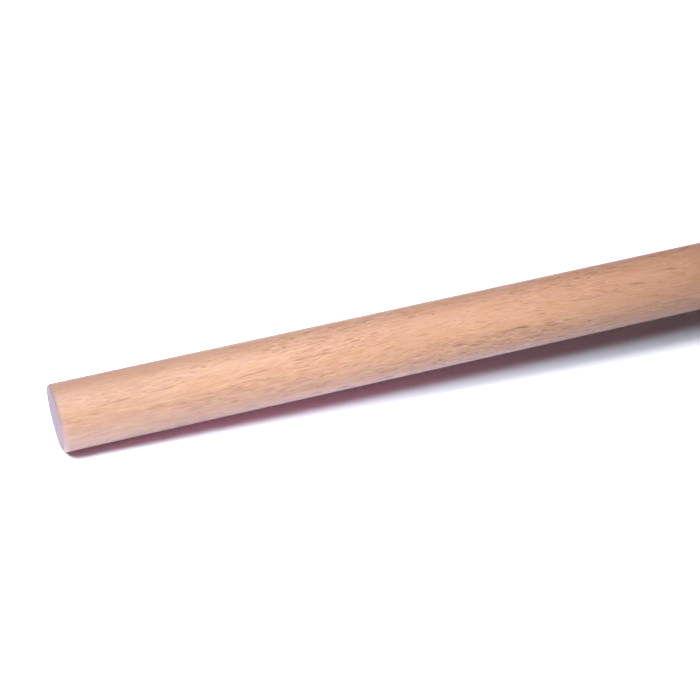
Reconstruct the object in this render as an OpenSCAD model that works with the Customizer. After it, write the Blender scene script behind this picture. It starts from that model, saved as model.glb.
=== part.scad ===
// Wooden dowel rod: one straight, round length of sanded beech.
// It lies along +X. The origin is the centre of the near end face, on the axis.
// Both ends are sawn square, and sanding has eased the sharp edge round each of them.

/* [Rod] */
// Diameter of the rod, which is that of the hole it fits
rod_d = 12; // [6:0.5:30]
// Length from one end face to the other
rod_l = 300; // [100:10:1000]

/* [Ends] */
// Radius that sanding leaves on the edge round each end face
edge_r = 0.4; // [0.1:0.1:2]

/* [Resolution] */
// Straight pieces in a full circle of the preview
facets = 96; // [24:8:192]

/* [Hidden] */

rod_r = rod_d / 2;
face_r = rod_r - edge_r; // flat part of an end face

// Half of the rod's long section, from the axis outwards, with the length going up.
// Its outer corners are true quarter circles, so the turned edges are true tori.
module half_section() {
    translate([0, edge_r])
        square([rod_r, rod_l - 2 * edge_r]);
    square([face_r, rod_l]);
    for (centre_y = [edge_r, rod_l - edge_r])
        translate([face_r, centre_y])
            circle(r = edge_r, $fn = facets);
}

module dowel_rod() {
    color("burlywood")
        rotate([0, 90, 0])
            rotate_extrude($fn = facets)
                half_section();
}

dowel_rod();
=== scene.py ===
# %% [markdown]
# # A beech dowel rod
#
# A dowel rod is the plainest thing that comes out of a wood shop: beech, turned round, sanded and cut
# to length. It has no parts to hide behind, so the wood has to carry the picture. This lesson builds
# its skin as a mesh with sawn ends and eased edges, grows beech inside that mesh, and lights it on
# white paper. The wood is a solid pattern in millimetres, with rings, rays and pores that run through
# the rod, so the sides and the ends show one and the same piece of wood.

# %% Frame
import math

import bmesh
import bpy
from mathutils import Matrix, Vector


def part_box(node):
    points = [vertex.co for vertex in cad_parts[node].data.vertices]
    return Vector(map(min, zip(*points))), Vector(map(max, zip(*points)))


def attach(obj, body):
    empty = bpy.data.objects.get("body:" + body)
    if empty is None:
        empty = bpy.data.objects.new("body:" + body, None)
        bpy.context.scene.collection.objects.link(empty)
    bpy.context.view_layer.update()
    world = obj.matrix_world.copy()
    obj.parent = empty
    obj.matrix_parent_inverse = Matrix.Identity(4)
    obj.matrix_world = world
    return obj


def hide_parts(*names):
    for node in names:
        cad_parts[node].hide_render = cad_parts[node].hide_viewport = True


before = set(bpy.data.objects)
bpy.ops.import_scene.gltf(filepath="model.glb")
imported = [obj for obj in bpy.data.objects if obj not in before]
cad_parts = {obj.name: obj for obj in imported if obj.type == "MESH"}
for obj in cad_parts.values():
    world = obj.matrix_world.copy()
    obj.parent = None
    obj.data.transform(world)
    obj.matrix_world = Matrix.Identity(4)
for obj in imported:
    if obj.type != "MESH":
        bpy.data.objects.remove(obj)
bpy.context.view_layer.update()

MM = 0.001
ROD_LOW, ROD_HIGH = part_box("dowel_rod")
ROD_L = (ROD_HIGH.x - ROD_LOW.x) / MM
ROD_R = (ROD_HIGH.z - ROD_LOW.z) / 2 / MM
print(f"the rod is {ROD_L:.1f} mm long and {2 * ROD_R:.2f} mm thick")


# %% [markdown]
# Colours are written as sRGB hex, the way that a paint card gives them. Cycles adds up light, so it
# needs them linear. A colour picker converts what is typed into it, but a script hands over bare
# numbers, so one function turns every colour in this lesson.

# %% Colour
def linear(hex_colour):
    """An sRGB colour such as D4A68C as linear red, green, blue and alpha."""
    channels = [int(hex_colour[i:i + 2], 16) / 255 for i in (0, 2, 4)]
    return [c / 12.92 if c <= 0.04045 else ((c + 0.055) / 1.055) ** 2.4 for c in channels] + [1.0]


print("sanded beech, linear:", [round(c, 3) for c in linear("D4A68C")[:3]])


# %% [markdown]
# A long thin thing doesn't fit a square picture as a whole and still show its wood. So the camera
# stands over the near end, looks down at about 38 degrees, and lets the rod run out of the picture on
# the right. A long lens keeps the two edges of the rod nearly parallel. The Standard view transform
# leaves white paper white, where a film-like one would turn it grey.

# %% Camera
HEADING = math.radians(19.61)
PITCH = math.radians(38.32)
SENSOR = 36.0
FOCAL_IN_FRAMES = 22 / 7
CAMERA_PLACE = (-48.4, -285.4, 240.2)
camera_data = bpy.data.cameras.new("camera")
camera_data.sensor_width = SENSOR
camera_data.lens = FOCAL_IN_FRAMES * SENSOR
camera = bpy.data.objects.new("camera", camera_data)
camera.location = Vector(CAMERA_PLACE) * MM
camera.rotation_euler = (math.pi / 2 - PITCH, 0, -HEADING)
bpy.context.scene.collection.objects.link(camera)
bpy.context.scene.camera = camera
bpy.context.scene.view_settings.view_transform = "Standard"
print(f"a {camera_data.lens:.0f} mm lens, {camera.location.length / MM:.0f} mm from the near end")


# %% [markdown]
# A material is a chain of nodes. It could be clicked together in the shader editor, but a script can
# be read, measured and run again. One small function adds a node. Names in small letters are the
# node's own settings, the rest are its sockets, and a socket takes either a value or a link.

# %% Node helper
def add(tree, kind, settings=None, links=None):
    """Adds a node to a tree, with its settings and the links that feed it."""
    node = tree.nodes.new(kind)
    for name, value in (settings or {}).items():
        if isinstance(name, str) and name.islower():
            setattr(node, name, value)
        else:
            node.inputs[name].default_value = value
    for name, source in (links or {}).items():
        tree.links.new(source, node.inputs[name])
    return node


# %% [markdown]
# The floor is a wide sheet of white background paper. Paper is limp, so between the two ends of the
# rod it hangs a few millimetres, and the rod bridges that dip. This is what makes the shadow start
# thin at the near end and grow wider towards the middle. A flat plane would give it the same width
# all along. The dip only curves one way, so the sheet is a row of strips: fine ones under the rod, a
# wide flat one at each side where the shading settles, and the plain rest.

# %% Paper sheet
FLOOR_REACH = 6000.0
FLAT_REACH = 600.0
FINE_PAST_END = 50.0
PAPER_SAG = 3.0
PAPER_STRIP = 2.5


def paper_drop(x):
    """How far the paper hangs below the rod's underside, as a parabola along the rod."""
    along = min(max(x / ROD_L, 0.0), 1.0)
    return PAPER_SAG * 4 * along * (1 - along)


fine_count = int((ROD_L + 2 * FINE_PAST_END) / PAPER_STRIP) + 1
fine_edges = [PAPER_STRIP * i - FINE_PAST_END for i in range(fine_count)]
strip_edges = [-FLOOR_REACH, -FLAT_REACH] + fine_edges + [FLAT_REACH, FLOOR_REACH]
sheet = bmesh.new()
rows = []
for side in (-FLOOR_REACH, FLOOR_REACH):
    rows.append([sheet.verts.new(Vector((x, side, -paper_drop(x))) * MM) for x in strip_edges])
for i in range(len(strip_edges) - 1):
    strip = sheet.faces.new((rows[0][i], rows[0][i + 1], rows[1][i + 1], rows[1][i]))
    strip.smooth = True
paper_mesh = bpy.data.meshes.new("paper_floor")
sheet.to_mesh(paper_mesh)
sheet.free()
floor = bpy.data.objects.new("paper_floor", paper_mesh)
floor.location.z = ROD_LOW.z
bpy.context.scene.collection.objects.link(floor)
print(f"{len(strip_edges) - 1} strips of paper, {paper_drop(ROD_L / 2):.1f} mm low at the middle")

# %% [markdown]
# Background paper is bleached and matt: it throws light in all directions and has no gloss. Lit until
# it is pure white, it would also throw so much light up at the rod that its underside would glow.
# A studio takes that down with black card beside the rod. Here the same is done in the paper: Light
# Path tells which rays are bounced light, and those find a greyer sheet.

# %% Paper finish
PAPER_SEEN = "F4F4F4"
PAPER_BOUNCED = "8EA2C2"
PAPER_ROUGHNESS = 0.9
# A Mix node has a row of sockets for each kind of value. These are the ones for colours.
FACTOR, BELOW, ABOVE, MIXED = 0, 6, 7, 2
paper = bpy.data.materials.new("matt_white_paper")
paper.use_nodes = True
paper_tree = paper.node_tree
paper_surface = paper_tree.nodes["Principled BSDF"]
paper_surface.inputs["Roughness"].default_value = PAPER_ROUGHNESS
paper_surface.inputs["Specular IOR Level"].default_value = 0.0
kind_of_ray = add(paper_tree, "ShaderNodeLightPath")
white_or_grey = add(paper_tree, "ShaderNodeMix",
                    {"data_type": "RGBA", BELOW: linear(PAPER_SEEN), ABOVE: linear(PAPER_BOUNCED)},
                    {FACTOR: kind_of_ray.outputs["Is Diffuse Ray"]})
paper_tree.links.new(white_or_grey.outputs[MIXED], paper_surface.inputs["Base Color"])
paper_mesh.materials.append(paper)
print("paper, linear:", [round(c, 2) for c in linear(PAPER_BOUNCED)[:3]], "where light bounces")

# %% [markdown]
# The rod is one turned piece. Its skin could be a cylinder primitive, but the ends are what tells a
# sawn stick from a drawn tube: a flat cut, and a small arris that sanding has eased. So the outline of
# half a section is walked once, from the middle of the near end to the middle of the far end, and
# swept round the axis. The arris is rounded a little wider than the plain part's 0.4 mm, so that its
# softness shows.

# %% Outline
EDGE_R = 0.6
FACE_R = ROD_R - EDGE_R
FACE_RINGS = 14
EDGE_RINGS = 6
WALL_RINGS = 400
SEGMENTS = 144

near_end = [(0.0, FACE_R * i / FACE_RINGS) for i in range(FACE_RINGS)]
for i in range(EDGE_RINGS + 1):
    turn = math.pi / 2 * i / EDGE_RINGS
    near_end.append((EDGE_R * (1 - math.cos(turn)), FACE_R + EDGE_R * math.sin(turn)))
far_end = [(ROD_L - x, r) for x, r in reversed(near_end)]
wall = [EDGE_R + (ROD_L - 2 * EDGE_R) * i / WALL_RINGS for i in range(1, WALL_RINGS)]
outline = near_end + [(x, ROD_R) for x in wall] + far_end
print(f"{len(outline)} rings of {SEGMENTS} points")

# %% [markdown]
# A rod is cut off with a hand-fed saw, and hardly ever dead square. The near end leans by a couple of
# degrees, so that its foot is set back. Moving the end face alone would push it through the first
# rings of the wall, so the lean fades out over the last stretch of the rod.
#
# The finish is baked on a flat map, and a rod is much too long for one. So the wall lies on the map
# in three strips of 100 mm, one above the other, with the two ends as discs beside them. A gutter
# round each keeps their colours apart.

# %% Places on the rod and on its map
CUT_LEAN = 0.45
CUT_FADE = 12.0
STRIPS = 3
GUTTER = 1.5
DISC_GAP = 2.25
STRIP_L = ROD_L / STRIPS
STRIP_H = 2 * math.pi * ROD_R
DISC_R = FACE_R + EDGE_R * math.pi / 2
MAP_SIDE = max(GUTTER + STRIP_L + 2 * (DISC_GAP + DISC_R), STRIPS * (STRIP_H + GUTTER) + GUTTER)


def on_rod(ring, step):
    """The point of a ring that lies a number of steps round from the floor."""
    x, r = outline[ring]
    turn = 2 * math.pi * step / SEGMENTS
    z = -r * math.cos(turn)
    lean = CUT_LEAN * (ROD_R - z) / (2 * ROD_R) * max(0.0, 1 - x / CUT_FADE)
    return Vector((x + lean, -r * math.sin(turn), z)) * MM


def on_wall_map(ring, step, strip):
    """Where a point of the wall lies on the map."""
    x = outline[ring][0]
    u = GUTTER + x - strip * STRIP_L
    v = GUTTER + strip * (STRIP_H + GUTTER) + STRIP_H * step / SEGMENTS
    return u / MAP_SIDE, v / MAP_SIDE


def on_disc_map(ring, step, far):
    """Where a point of an end lies on the map."""
    inner = min(ring, len(outline) - 1 - ring)
    r = near_end[inner][1]
    if inner > FACE_RINGS:
        r = FACE_R + EDGE_R * (inner - FACE_RINGS) * math.pi / 2 / EDGE_RINGS
    turn = 2 * math.pi * step / SEGMENTS
    u = GUTTER + STRIP_L + DISC_GAP + DISC_R + r * math.sin(turn) * (-1 if far else 1)
    v = GUTTER + DISC_R + far * (2 * DISC_R + GUTTER) - r * math.cos(turn)
    return u / MAP_SIDE, v / MAP_SIDE


print(f"a map of {MAP_SIDE:.0f} mm square, and a cut {CUT_LEAN} mm out of square")

# %% [markdown]
# The rings of points are joined by quads, row by row, and close to a fan of triangles in the middle
# of each end. A Screw modifier could sweep the outline too, but here each corner of a face also gets
# its place on the map as it is made.

# %% Skin
LAST_NEAR = len(near_end) - 1
FIRST_FAR = len(outline) - len(near_end)
skin = bmesh.new()
bake_map = skin.loops.layers.uv.new("OFBake")
rings = []
for ring, (x, r) in enumerate(outline):
    steps = range(SEGMENTS) if r > 0 else range(1)
    rings.append([skin.verts.new(on_rod(ring, step)) for step in steps])
for ring in range(len(outline) - 1):
    middle = (outline[ring][0] + outline[ring + 1][0]) / 2
    strip = min(int(middle / STRIP_L), STRIPS - 1)
    for step in range(SEGMENTS):
        corners = [(ring, step), (ring + 1, step), (ring + 1, step + 1), (ring, step + 1)]
        if len(rings[ring]) == 1:
            corners.pop(3)
        if len(rings[ring + 1]) == 1:
            corners.pop(2)
        face = skin.faces.new([rings[n][k % len(rings[n])] for n, k in corners])
        face.smooth = True
        for loop, (n, k) in zip(face.loops, corners):
            if LAST_NEAR <= ring < FIRST_FAR:
                loop[bake_map].uv = on_wall_map(n, k, strip)
            else:
                loop[bake_map].uv = on_disc_map(n, k, ring >= FIRST_FAR)
rod_mesh = bpy.data.meshes.new("beech_rod")
skin.to_mesh(rod_mesh)
skin.free()
print(f"{len(rod_mesh.polygons)} faces")

# %% [markdown]
# The wood is steamed beech, turned and sanded with fine paper, and left raw. Steaming turns beech
# from white to a warm pink buff, and fine sanding leaves it matt with a faint silk. All its patterns
# are solid ones: they are worked out in millimetres at a place in the log, so nothing is wrapped
# round the rod and nothing has a seam.
#
# First the rod gets its place in the log. x stays along the rod, z points out of the log through the
# face that looks up and forward, and y lies across that face.

# %% Place in the log
FACING = math.radians(51.7)
beech = bpy.data.materials.new("sanded_beech")
beech.use_nodes = True
tree = beech.node_tree
surface = tree.nodes["Principled BSDF"]
place = add(tree, "ShaderNodeTexCoord")
log = add(tree, "ShaderNodeMapping", {"Scale": (1 / MM, 1 / MM, 1 / MM), "Rotation": (-FACING, 0, 0)},
          {"Vector": place.outputs["Object"]}).outputs[0]
axes = add(tree, "ShaderNodeSeparateXYZ", {}, {0: log})
print(f"the wood's face looks {math.degrees(FACING):.0f} degrees forward of straight up")

# %% [markdown]
# No trunk is quite straight, so the grain isn't a set of ruled lines. It sways slowly from one edge of
# the face to the other, and wanders a little on the way. A picture of wood could show that on one
# side only. Here the place in the log is itself moved aside, first by a sine and then by two noises,
# so every pattern that is grown in it bends alike.

# %% Sway of the grain
SWAY = 1.6
SWAY_AT_EDGE = 0.3
SWAY_LENGTH = 110.0
SWAY_START = -2.34
WANDERS = [
    # length, width, drift
    (30, 9, 2.0),
    (3, 0.9, 0.5),
]
phase = add(tree, "ShaderNodeMath",
            {"operation": "MULTIPLY_ADD", 1: 2 * math.pi / SWAY_LENGTH, 2: SWAY_START},
            {0: axes.outputs["X"]})
swing = add(tree, "ShaderNodeMath", {"operation": "SINE"}, {0: phase.outputs[0]})
from_middle = add(tree, "ShaderNodeMath", {"operation": "ABSOLUTE"}, {0: axes.outputs["Y"]})
strongest = add(tree, "ShaderNodeMapRange", {"From Max": ROD_R, "To Min": -SWAY, "To Max": -SWAY_AT_EDGE},
                {"Value": from_middle.outputs[0]})
aside = add(tree, "ShaderNodeMath", {"operation": "MULTIPLY"},
            {0: swing.outputs[0], 1: strongest.outputs[0]})
sway = add(tree, "ShaderNodeCombineXYZ", {}, {"Y": aside.outputs[0]})
grain = add(tree, "ShaderNodeVectorMath", {"operation": "ADD"}, {0: log, 1: sway.outputs[0]}).outputs[0]
for length, width, drift in WANDERS:
    slow = add(tree, "ShaderNodeVectorMath",
               {"operation": "MULTIPLY", 1: (1 / length, 1 / width, 1 / width)}, {0: grain})
    wander = add(tree, "ShaderNodeTexNoise", {"Scale": 1.0, "Detail": 1.0}, {"Vector": slow.outputs[0]})
    drifted = add(tree, "ShaderNodeVectorMath",
                  {"operation": "MULTIPLY_ADD", 1: (0, drift, drift), 2: (0, -drift / 2, -drift / 2)},
                  {0: wander.outputs["Color"]})
    moved = add(tree, "ShaderNodeVectorMath", {"operation": "ADD"}, {0: grain, 1: drifted.outputs[0]})
    grain = moved.outputs[0]
print(f"the grain sways {SWAY} mm to each side over {SWAY_LENGTH:.0f} mm")

# %% [markdown]
# A tree adds a ring a year, about 2 mm wide in beech. The late wood at the outside of each ring is a
# shade darker. The heart of the tree lies some 70 mm below the rod, so the rings cross it as nearly
# flat layers: wide soft bands on the upper face, and arcs on the ends. A Wave texture can draw rings
# too, but its scale isn't in millimetres. Here the distance from the heart is divided by the width of
# a ring, and what is left over after the whole years says how late in the season the wood grew.

# %% Growth rings
PITH_DEPTH = 70.0
RING = 2.2
LATE_STARTS = 0.2
LATE_FULL = 0.95
across = add(tree, "ShaderNodeVectorMath",
             {"operation": "MULTIPLY_ADD", 1: (0, 1, 1), 2: (0, 0, PITH_DEPTH)}, {0: grain})
radius = add(tree, "ShaderNodeVectorMath", {"operation": "LENGTH"}, {0: across.outputs[0]})
years = add(tree, "ShaderNodeMath", {"operation": "MULTIPLY", 1: 1 / RING}, {0: radius.outputs["Value"]})
season = add(tree, "ShaderNodeMath", {"operation": "FRACT"}, {0: years.outputs[0]})
masks = {}
masks["late wood"] = add(tree, "ShaderNodeMapRange",
                         {"interpolation_type": "SMOOTHSTEP", "From Min": LATE_STARTS,
                          "From Max": LATE_FULL},
                         {"Value": season.outputs[0]}).outputs[0]
print(f"a ring every {RING} mm, {2 * ROD_R / RING:.0f} of them through the rod")

# %% [markdown]
# Fibres are what gives wood its lines. Each layer here is a noise that is stretched along the grain:
# its length and width are in mm, and two limits cut it. Limits far apart leave a soft cloud, and
# limits close together leave crisp lines with bare wood between them. Real beech fibres are 0.02 mm
# wide, too fine to show, so the finest layers are drawn 0.16 to 0.42 mm wide. Each layer reads another
# part of the noise, so that no two layers repeat each other.

# %% Fibres
FRAY = 0.55
FIBRES = [
    # name, length, width, detail, lower limit, upper limit
    ("cloud", 26, 4.5, 2, 0.30, 0.70),
    ("busy", 24, 3.4, 1, 0.38, 0.60),
    ("streak", 8, 0.9, 2, 0.30, 0.70),
    ("rosy", 4.0, 0.9, 1, 0.48, 0.66),
    ("buff", 3.6, 0.8, 1, 0.48, 0.66),
    ("fibre", 2.8, 0.42, 1, 0.30, 0.70),
    ("dark line", 3.6, 0.34, 1, 0.56, 0.68),
    ("light line", 3.0, 0.32, 1, 0.56, 0.70),
    ("pore", 1.3, 0.16, 1, 0.30, 0.70),
]
for n, (name, length, width, detail, lower, upper) in enumerate(FIBRES):
    stretched = add(tree, "ShaderNodeVectorMath",
                    {"operation": "MULTIPLY_ADD", 1: (1 / length, 1 / width, 1 / width),
                     2: (9 * n, 5 * n, 7 * n)},
                    {0: grain})
    pattern = add(tree, "ShaderNodeTexNoise", {"Scale": 1.0, "Detail": detail, "Roughness": FRAY},
                  {"Vector": stretched.outputs[0]})
    masks[name] = add(tree, "ShaderNodeMapRange", {"From Min": lower, "From Max": upper},
                      {"Value": pattern.outputs["Fac"]}).outputs[0]
print(f"{len(FIBRES)} layers of fibres")

# %% [markdown]
# Rays are beech's own mark. They are thin ribbons of cells that run from the heart out to the bark,
# and where the face cuts across them they show as short dark dashes, one to three millimetres long.
# Stretched noise would give wisps without ends, so each ribbon is a cell of a Voronoi pattern, short
# along the grain, thin across it, and long into the wood. On the rod's flanks the same ribbons turn
# into broad flecks. The broad rays of beech are 0.2 to 0.3 mm thick, just enough to show, so they are
# drawn at their true size. Each cell also has a random colour, and one channel of it serves as the
# dice that say how dark that dash is. A painted highlight rim lies beside each, for the light that the
# edge of the sunken ray catches: it is the same pattern, moved sideways by half its width.

# %% Rays
RAY_CORE = 0.6
RAYS = [
    # name, length, width, depth, size within its cell, sideways
    ("ray", 2.2, 0.40, 7, 0.34, 0.0),
    # painted highlight: the ray pattern moved sideways, a lit edge beside each dash
    ("painted highlight rim", 2.2, 0.40, 7, 0.34, 0.20),
    ("short ray", 1.2, 0.32, 5, 0.33, 0.0),
    ("long ray", 5.5, 0.62, 7, 0.24, 0.0),
]
for name, length, width, depth, size, sideways in RAYS:
    stretched = add(tree, "ShaderNodeVectorMath",
                    {"operation": "MULTIPLY_ADD", 1: (1 / length, 1 / width, 1 / depth),
                     2: (0, sideways / width, 0)},
                    {0: grain})
    cells = add(tree, "ShaderNodeTexVoronoi", {"feature": "F1", "Scale": 1.0},
                {"Vector": stretched.outputs[0]})
    inside = add(tree, "ShaderNodeMapRange",
                 {"interpolation_type": "SMOOTHSTEP", "From Min": size, "From Max": size * RAY_CORE},
                 {"Value": cells.outputs["Distance"]})
    dice = add(tree, "ShaderNodeSeparateXYZ", {}, {0: cells.outputs["Color"]})
    uneven = add(tree, "ShaderNodeMath", {"operation": "MULTIPLY"},
                 {0: inside.outputs[0], 1: dice.outputs[0]})
    masks[name] = uneven.outputs[0]
print(f"{len(RAYS)} layers of rays")

# %% [markdown]
# Some stretches of beech are calm and some are busy. One slow noise says which. It puts its calm
# anywhere, so a few more calm patches are listed, each an ellipsoid in the wood. A Mapping node
# of the Texture kind moves it to the middle and scales it to a ball, so the length of the vector says
# how far out a place is. Rays and crisp lines are thinned where the wood is calm.

# %% Calm and busy stretches
CALM_CORE = 0.6
CALM_RIM = 1.2
GRAIN_LEFT = 0.4
CALM_PATCHES = [
    # along, across, length, width
    (10, 4.8, 50, 4.6),
    (6, -3.4, 40, 4.6),
    (32, 2.4, 18, 2.4),
    (86, -0.8, 14, 1.8),
]


def how_far_out(wood, along, sideways, length, width, depth, slope=0.0):
    """How far out of an ellipsoid on the rod's face a place in the wood is, with its rim at 1."""
    outward = math.sqrt(ROD_R ** 2 - sideways ** 2)
    ball = add(tree, "ShaderNodeMapping",
               {"vector_type": "TEXTURE", "Location": (along, sideways, outward), "Rotation": (0, 0, slope),
                "Scale": (length / 2, width / 2, depth)}, {"Vector": wood})
    distance = add(tree, "ShaderNodeVectorMath", {"operation": "LENGTH"}, {0: ball.outputs[0]})
    return distance.outputs["Value"]


for along, sideways, length, width in CALM_PATCHES:
    outside = add(tree, "ShaderNodeMapRange",
                  {"interpolation_type": "SMOOTHSTEP", "From Min": CALM_CORE, "From Max": CALM_RIM},
                  {"Value": how_far_out(log, along, sideways, length, width, width)})
    masks["busy"] = add(tree, "ShaderNodeMath", {"operation": "MULTIPLY"},
                        {0: masks["busy"], 1: outside.outputs[0]}).outputs[0]
thinned = add(tree, "ShaderNodeMapRange", {"To Min": GRAIN_LEFT}, {"Value": masks["busy"]})
for name in ("ray", "painted highlight rim", "short ray", "long ray", "fibre", "dark line", "light line"):
    masks[name] = add(tree, "ShaderNodeMath", {"operation": "MULTIPLY"},
                      {0: masks[name], 1: thinned.outputs[0]}).outputs[0]
print(f"{len(CALM_PATCHES)} calm patches")

# %% [markdown]
# The colour is laid on like glazes over a bare base. Each layer has a mask, a stain and a strength.
# One long colour ramp could do it with fewer nodes, but then no layer could be tuned alone. Steamed
# beech is a warm pink buff, its late wood is browner, and rays and pores are dark because they are
# open and hold a shadow. Rosy and buff patches keep the wood from looking dyed.

# %% Colour of the wood
BARE_WOOD = "DBAE8E"
GLAZES = [
    # mask, stain, strength
    ("cloud", "D9A792", 0.32),
    ("late wood", "C4906F", 0.20),
    ("streak", "EDC4A4", 0.40),
    ("rosy", "DFA390", 0.46),
    ("buff", "D8AB7A", 0.48),
    ("fibre", "BC8867", 0.38),
    ("light line", "F4CFAE", 0.40),
    ("dark line", "A06C50", 0.36),
    ("pore", "B98A70", 0.16),
    # painted highlight beside each ray
    ("painted highlight rim", "F8D8B8", 0.45),
    ("short ray", "98664C", 0.36),
    ("ray", "905C44", 0.48),
    ("long ray", "80563E", 0.55),
]


def glazed(under, mask, stain, strength):
    """Lays a stain over the colour under it, or over the bare wood where nothing is under it yet."""
    amount = add(tree, "ShaderNodeMath", {"operation": "MULTIPLY", 1: strength}, {0: mask})
    glaze = add(tree, "ShaderNodeMix", {"data_type": "RGBA", BELOW: linear(BARE_WOOD), ABOVE: linear(stain)},
                {FACTOR: amount.outputs[0]})
    if under:
        tree.links.new(under, glaze.inputs[BELOW])
    return glaze.outputs[MIXED]


colour = None
for name, stain, strength in GLAZES:
    colour = glazed(colour, masks[name], stain, strength)
print(f"{len(GLAZES)} glazes over the bare wood")

# %% [markdown]
# No two rods have the same blemishes. These are listed one by one: knots no bigger than a pinhead,
# dark rays, streaks of light wood, a rosy stain along the upper edge, and two wide patches of painted
# shade, which darken the lower half of the near end and the middle of the rod. Each is an ellipsoid
# again. It is placed in a log that wanders with the fine grain, and the fibres tear it, so none has a
# drawn outline.

# %% Blemishes
BLEMISH_CORE = 0.3
BLEMISH_RIM = 1.2
LEAST_DEPTH = 1.5
TORN_LEAST = 0.5
TORN_MOST = 1.3
BLEMISHES = [
    # along, across, length, width, slope, stain, strength
    (24.4, 4.62, 0.8, 0.38, 0.0, "6E4A3A", 0.50),
    (40.7, 3.60, 0.8, 0.40, 0.0, "6E4A3A", 0.70),
    (68.3, 3.70, 0.7, 0.36, 0.0, "7A5242", 0.60),
    (84.5, 2.51, 0.8, 0.34, 0.0, "7A5242", 0.50),
    (96.7, -3.29, 1.0, 0.36, 0.0, "6E4A3A", 0.60),
    (83.4, -1.85, 4.2, 0.46, -0.09, "70462F", 0.80),
    (80.6, -2.10, 4.0, 0.36, -0.09, "8A5E46", 0.60),
    (89.0, -2.62, 6.0, 0.35, -0.09, "8A5E46", 0.55),
    (96.5, 0.60, 8.0, 0.32, -0.06, "8A5E46", 0.65),
    (34.6, 0.38, 8.0, 0.34, 0.07, "8A5E46", 0.60),
    (43.0, 1.05, 6.0, 0.30, 0.09, "8A5E46", 0.50),
    (30.3, -3.55, 1.8, 0.36, 0.02, "80563E", 0.70),
    (21.0, -2.05, 2.0, 0.34, 0.02, "80563E", 0.60),
    (36.6, -3.01, 2.4, 0.34, 0.03, "80563E", 0.60),
    (10.5, 0.85, 9.0, 0.34, 0.03, "946850", 0.50),
    (18.0, 1.10, 7.0, 0.34, 0.03, "946850", 0.55),
    (45.0, -5.30, 3.0, 0.50, 0.0, "7A5858", 0.60),
    (50.5, -5.45, 3.0, 0.50, 0.0, "7A5858", 0.55),
    (58.0, -5.45, 4.0, 0.50, 0.0, "7A5858", 0.55),
    (33.0, -5.20, 3.0, 0.45, 0.0, "7A5858", 0.45),
    (7.6, 3.66, 4.0, 0.8, 0.0, "D08474", 0.35),
    (17.2, 4.54, 6.0, 0.9, 0.0, "B07E62", 0.40),
    (3.0, -2.60, 9.0, 1.5, 0.0, "C08C5C", 0.45),
    (8.0, 5.20, 70.0, 3.6, 0.0, "CC9880", 0.50),
    # painted shade: the lower half of the near end darker
    (4.0, -4.50, 90.0, 12.0, 0.0, "A9836C", 0.64),
    # painted shade: the middle of the rod darker, where less light falls
    (138.0, 0.0, 84.0, 16.0, 0.0, "A9856C", 0.46),
    (77.0, 0.20, 34.0, 4.6, 0.0, "EDC09A", 0.32),
    (106.5, 1.30, 4.2, 0.34, -0.12, "80563E", 0.75),
    (113.5, 2.60, 3.6, 0.34, -0.12, "80563E", 0.70),
    (98.5, 1.70, 3.4, 0.30, -0.10, "8A5E46", 0.60),
    (47.0, -3.90, 2.0, 0.34, 0.0, "80563E", 0.60),
    (14.0, -0.85, 22.0, 0.5, 0.0, "F2CDA6", 0.28),
    (5.0, 3.20, 40.0, 5.0, 0.0, "C4967C", 0.42),
    (30.0, -0.45, 14.0, 0.4, 0.03, "F6D2AC", 0.35),
]
uneven_log = add(tree, "ShaderNodeVectorMath", {"operation": "ADD"},
                 {0: log, 1: drifted.outputs[0]}).outputs[0]
ragged = add(tree, "ShaderNodeMapRange", {"To Min": TORN_LEAST, "To Max": TORN_MOST},
             {"Value": masks["fibre"]})
for along, sideways, length, width, slope, stain, strength in BLEMISHES:
    depth = max(width, LEAST_DEPTH)
    faded = add(tree, "ShaderNodeMapRange",
                {"interpolation_type": "SMOOTHSTEP", "From Min": BLEMISH_RIM, "From Max": BLEMISH_CORE},
                {"Value": how_far_out(uneven_log, along, sideways, length, width, depth, slope)})
    torn = add(tree, "ShaderNodeMath", {"operation": "MULTIPLY"},
               {0: faded.outputs[0], 1: ragged.outputs[0]})
    colour = glazed(colour, torn.outputs[0], stain, strength)
print(f"{len(BLEMISHES)} blemishes")

# %% [markdown]
# An end shows the fibres from their open side, like a bundle of straws. The cut is a little lighter
# and warmer than the sides, with the rings and the pores a shade darker; the extra lightness is
# painted light, for the pale sheen that a cut end shows at a slant. The ends could have a material of
# their own, but it would have to grow the same rings a second time. So one material covers both, and
# the object's own normal tells them apart: on an end it points along x. The last millimetre or so of
# the wall is painted a greyer lilac, a painted reflection of the white paper where the edge is seen
# at a slant, and there the colour changes softly.

# %% End grain
FLAT_STARTS = 0.8
FLAT_FULL = 0.99
EDGE_FADE = 1.5
EDGE_FULL = 0.2
facing = add(tree, "ShaderNodeSeparateXYZ", {}, {0: place.outputs["Normal"]})
towards_end = add(tree, "ShaderNodeMath", {"operation": "ABSOLUTE"}, {0: facing.outputs["X"]})
on_end = add(tree, "ShaderNodeMapRange", {"From Min": FLAT_STARTS, "From Max": FLAT_FULL},
             {"Value": towards_end.outputs[0]}).outputs[0]
from_end = add(tree, "ShaderNodeMath", {"operation": "PINGPONG", 1: ROD_L / 2}, {0: axes.outputs["X"]})
near_edge = add(tree, "ShaderNodeMapRange", {"From Min": EDGE_FADE, "From Max": EDGE_FULL},
                {"Value": from_end.outputs[0]}).outputs[0]
late_on_end = add(tree, "ShaderNodeMath", {"operation": "MULTIPLY"}, {0: masks["late wood"], 1: on_end})
straws = add(tree, "ShaderNodeMath", {"operation": "MULTIPLY"}, {0: masks["pore"], 1: on_end})
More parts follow.
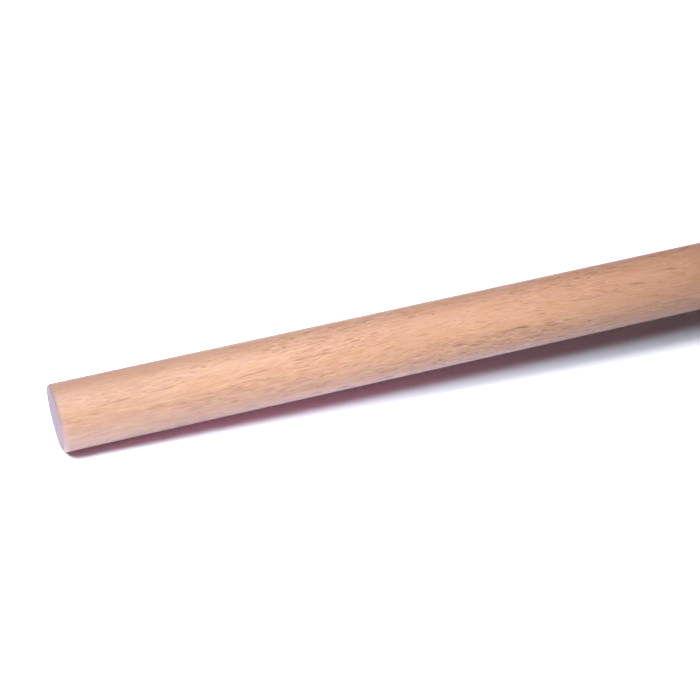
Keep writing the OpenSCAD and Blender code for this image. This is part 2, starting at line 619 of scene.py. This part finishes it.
END_GLAZES = [
    # mask, stain, strength
    # painted reflection: a greyer lilac on the last millimetre or so of the wall
    (near_edge, "CCA8A6", 0.50),
    # painted light: the cut lighter than the sides, for the sheen it shows at a slant
    (on_end, "F0B288", 0.84),
    (late_on_end.outputs[0], "B4826C", 0.30),
    (straws.outputs[0], "96746A", 0.30),
]
for mask, stain, strength in END_GLAZES:
    colour = glazed(colour, mask, stain, strength)
print(f"{len(END_GLAZES)} glazes on the ends")

# %% [markdown]
# Like the paper, the rod is a shade darker for bounced light than for the eye. The lamps under it
# light its belly well, and at full strength that belly would wash out the shadow on the paper.

# %% Wood as the paper finds it
WOOD_BOUNCED = "695242"
bounced = add(tree, "ShaderNodeLightPath")
seen_or_bounced = add(tree, "ShaderNodeMix", {"data_type": "RGBA", ABOVE: linear(WOOD_BOUNCED)},
                      {FACTOR: bounced.outputs["Is Diffuse Ray"], BELOW: colour})
tree.links.new(seen_or_bounced.outputs[MIXED], surface.inputs["Base Color"])
print("bounced wood, linear:", [round(c, 2) for c in linear(WOOD_BOUNCED)[:3]])

# %% [markdown]
# Raw sanded beech is matt, but not dead matt, and the coarser fibres and the sawn ends are the
# dullest. The relief is what sandpaper leaves: rays stand back a few hundredths of a millimetre, and
# fibres stand up. It is far too shallow for the mesh, so a Bump node draws it. Fine fluff from the
# sanding catches light that skims over it, which a little sheen gives.

# %% Gloss and relief
ROUGH_WALL = 0.52
ROUGH_FIBRES = 0.12
ROUGH_END = 0.8
RELIEF = 0.04
RELIEF_STRENGTH = 0.6
RAY_SINK = 0.9
open_wood = add(tree, "ShaderNodeMath", {"operation": "MAXIMUM"}, {0: masks["ray"], 1: masks["long ray"]})
rougher = add(tree, "ShaderNodeMath", {"operation": "MULTIPLY_ADD", 1: ROUGH_FIBRES, 2: ROUGH_WALL},
              {0: masks["fibre"]})
gloss = add(tree, "ShaderNodeMath", {"operation": "MULTIPLY_ADD", 1: ROUGH_END - ROUGH_WALL},
            {0: on_end, 2: rougher.outputs[0]})
tree.links.new(gloss.outputs[0], surface.inputs["Roughness"])
surface.inputs["IOR"].default_value = 1.5
surface.inputs["Sheen Weight"].default_value = 0.3
surface.inputs["Sheen Roughness"].default_value = 0.35
surface.inputs["Sheen Tint"].default_value = linear("D8D0FF")
height = add(tree, "ShaderNodeMath", {"operation": "MULTIPLY_ADD", 1: -RAY_SINK},
             {0: open_wood.outputs[0], 2: masks["fibre"]})
bump = add(tree, "ShaderNodeBump", {"Strength": RELIEF_STRENGTH, "Distance": RELIEF * MM},
           {"Height": height.outputs[0]})
tree.links.new(bump.outputs[0], surface.inputs["Normal"])
print(f"roughness from {ROUGH_WALL} to {ROUGH_END}, relief {RELIEF} mm")

# %% [markdown]
# The finished rod takes the place of the plain one and rides on the same body.

# %% Rod
rod_mesh.materials.append(beech)
rod = bpy.data.objects.new("beech_rod", rod_mesh)
bpy.context.scene.collection.objects.link(rod)
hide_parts("dowel_rod")
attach(rod, "root")
print(f"{rod.name} has {len(tree.nodes)} nodes of wood on it")

# %% [markdown]
# A bright world would light the rod from all sides and leave it flat. So the room is white where the
# camera sees it and gives no light of its own, and every shadow is drawn by a lamp.

# %% Room
room = bpy.data.worlds.new("room")
bpy.context.scene.world = room
room.use_nodes = True
seen = add(room.node_tree, "ShaderNodeLightPath")
backdrop = room.node_tree.nodes["Background"]
backdrop.inputs["Color"].default_value = linear("FFFFFF")
room.node_tree.links.new(seen.outputs["Is Camera Ray"], backdrop.inputs["Strength"])
print("a white room that lights nothing")


# %% [markdown]
# In a studio each lamp is flagged: black cards keep its light off what it isn't meant for. Blender
# has light linking for this, where a lamp is given a collection of the things that it may light. So
# the paper gets its own lamps, which burn it to white and draw the shadow, and the rod gets its own,
# which model its roundness. The lamps on the rod are softboxes, the big cloth-fronted kind, because
# only a large source rolls off this gently round a thin rod. Each is placed by how far along the rod
# it stands, how high over the horizon, and how far off. Beyond 90 degrees it stands behind the rod,
# and below 0 or beyond 180 under the paper.
#
# The damped paper has to give back the light it would throw up under the rod. Two lamps do that from
# under the sheet. A lamp also has a collection of things that may block it, and theirs leaves out
# the sheet.

# %% Softboxes
def flagged(lamp, thing, through_paper=False):
    """Keeps a lamp's light on one thing alone, and lets it through the paper if that's wanted."""
    lit = bpy.data.collections.new(f"lit_by_{lamp.name}")
    lit.objects.link(thing)
    lamp.light_linking.receiver_collection = lit
    if through_paper:
        lamp.light_linking.blocker_collection = lit


def softbox(name, thing, along, aim, height, distance, size, power, hex_colour):
    """A square soft light on one thing, aimed at a place along the rod. Sizes are in mm."""
    light = bpy.data.lights.new(name, "AREA")
    light.shape = "SQUARE"
    light.size = size * MM
    light.energy = power
    light.color = linear(hex_colour)[:3]
    lamp = bpy.data.objects.new(name, light)
    turn = math.radians(height)
    lamp.location = Vector((along, -distance * math.cos(turn), distance * math.sin(turn))) * MM
    lamp.rotation_euler = (Vector((aim * MM, 0, 0)) - lamp.location).to_track_quat("-Z", "Y").to_euler()
    lamp.visible_camera = False
    bpy.context.scene.collection.objects.link(lamp)
    flagged(lamp, thing, through_paper=lamp.location.z < floor.location.z)
    return lamp


SOFTBOXES = [
    # name, thing, along, aim, height, distance, size, power, colour
    ("paper_key", floor, -40, 0, 77, 90, 50, 0.402, "E3F1FF"),
    ("paper_fill", floor, 32, 32, 30, 60, 50, 0.0165, "FF8EB7"),
    ("rod_top", rod, 0, 0, 80, 180, 100, 0.388, "D4EBFF"),
    ("rod_middle", rod, 60, 60, 80, 180, 100, 0.140, "FFC8B3"),
    ("rod_front", rod, 0, 0, 5, 180, 100, 0.220, "FFE2A8"),
    ("rod_rim", rod, 90, 90, -100, 90, 60, 0.045, "CCD8FF"),
    ("rod_back", rod, 120, 120, 205, 220, 120, 0.24, "FFF7ED"),
]
for softbox_settings in SOFTBOXES:
    softbox(*softbox_settings)
print(f"{len(SOFTBOXES)} softboxes")

# %% [markdown]
# The far half of the rod would sink into the dark. One more softbox stands past its end, with a
# honeycomb grid on the cloth: the grid lets light out only straight ahead, so it ends before it
# reaches the near half. The spread of an area lamp is just such a grid.

# %% Far softbox with a grid
far_box = softbox("rod_far", rod, 400, 250, 60, 150, 120, 0.032, "FFEDDA")
far_box.data.spread = math.radians(42)
print(f"a grid of {math.degrees(far_box.data.spread):.0f} degrees on {far_box.name}")

# %% [markdown]
# The sheet is far larger than any softbox. A sun lights it evenly all the way to the horizon, and
# its disc is made wide, so that it acts like a big window: the shadow has a core next to the rod and
# melts away from it. It stands a little behind the rod, so the shadow falls towards the camera.

# %% Sun
SUN_HEIGHT = math.radians(105)
sun_light = bpy.data.lights.new("sun", "SUN")
sun_light.energy = 3.6
sun_light.angle = math.radians(30)
sun = bpy.data.objects.new("sun", sun_light)
sun_ray = Vector((0, math.cos(SUN_HEIGHT), -math.sin(SUN_HEIGHT)))
sun.rotation_euler = sun_ray.to_track_quat("-Z", "Y").to_euler()
bpy.context.scene.collection.objects.link(sun)
flagged(sun, floor)
print(f"a sun {math.degrees(sun_light.angle):.0f} degrees wide")
